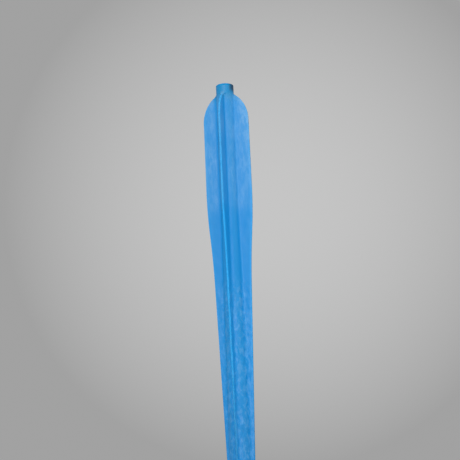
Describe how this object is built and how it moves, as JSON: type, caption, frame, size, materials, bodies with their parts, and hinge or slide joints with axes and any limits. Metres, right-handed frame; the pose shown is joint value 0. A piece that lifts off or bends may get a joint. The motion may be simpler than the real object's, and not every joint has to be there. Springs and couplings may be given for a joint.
{
  "type": "periodontal probe",
  "caption": "Hand probe: blue moulded handle with four thin lengthwise vanes and a round neck at its butt, and a bent steel tip with depth bands that unscrews.",
  "frame": {"origin": "on the handle's axis, in the plane where the vanes' shoulders meet the neck", "axes": "+Z along the handle towards its butt, with the tip pointing down; the tip bends towards -Y; the vanes stand along X and Y"},
  "size_m": [0.0114, 0.0222, 0.1606],
  "materials": {
    "blue_moulding": "satin moulded plastic",
    "tube_steel": "drawn",
    "plug_plastic": "satin moulded plastic",
    "seal_rubber": "matt",
    "ring_steel": "turned",
    "socket_brass": "turned",
    "pin_steel": "ground",
    "washer_rubber": "matt silicone",
    "base_steel": "turned",
    "shank_steel": "polished",
    "band_fill": "matt colour fill"
  },
  "bodies": {
    "handle": {"vaned_grip": "blue_moulding", "core_tube": "tube_steel", "neck_plug": "plug_plastic", "plug_seal": "seal_rubber", "nose_ring": "ring_steel", "thread_insert": "socket_brass", "insert_pin": "pin_steel"},
    "seal": {"nose_seal": "washer_rubber"},
    "tip": {"tip_base": "base_steel", "probe_shank": "shank_steel", "depth_bands": "band_fill"}
  },
  "joints": [
    {"name": "tip_travel", "type": "slide", "parent": "handle", "child": "seal", "axis": [0, 0, -1], "range_m": [0, 0.0027]},
    {"name": "tip_unscrew", "type": "hinge", "parent": "seal", "child": "tip", "pos_m": [0, 0, -0.1249], "axis": [0, 0, -1], "range_deg": [0, 2160]}
  ],
  "couplings": [
    {"joint": "tip_unscrew", "follows": "tip_travel", "rad_per_m": 13963}
  ]
}
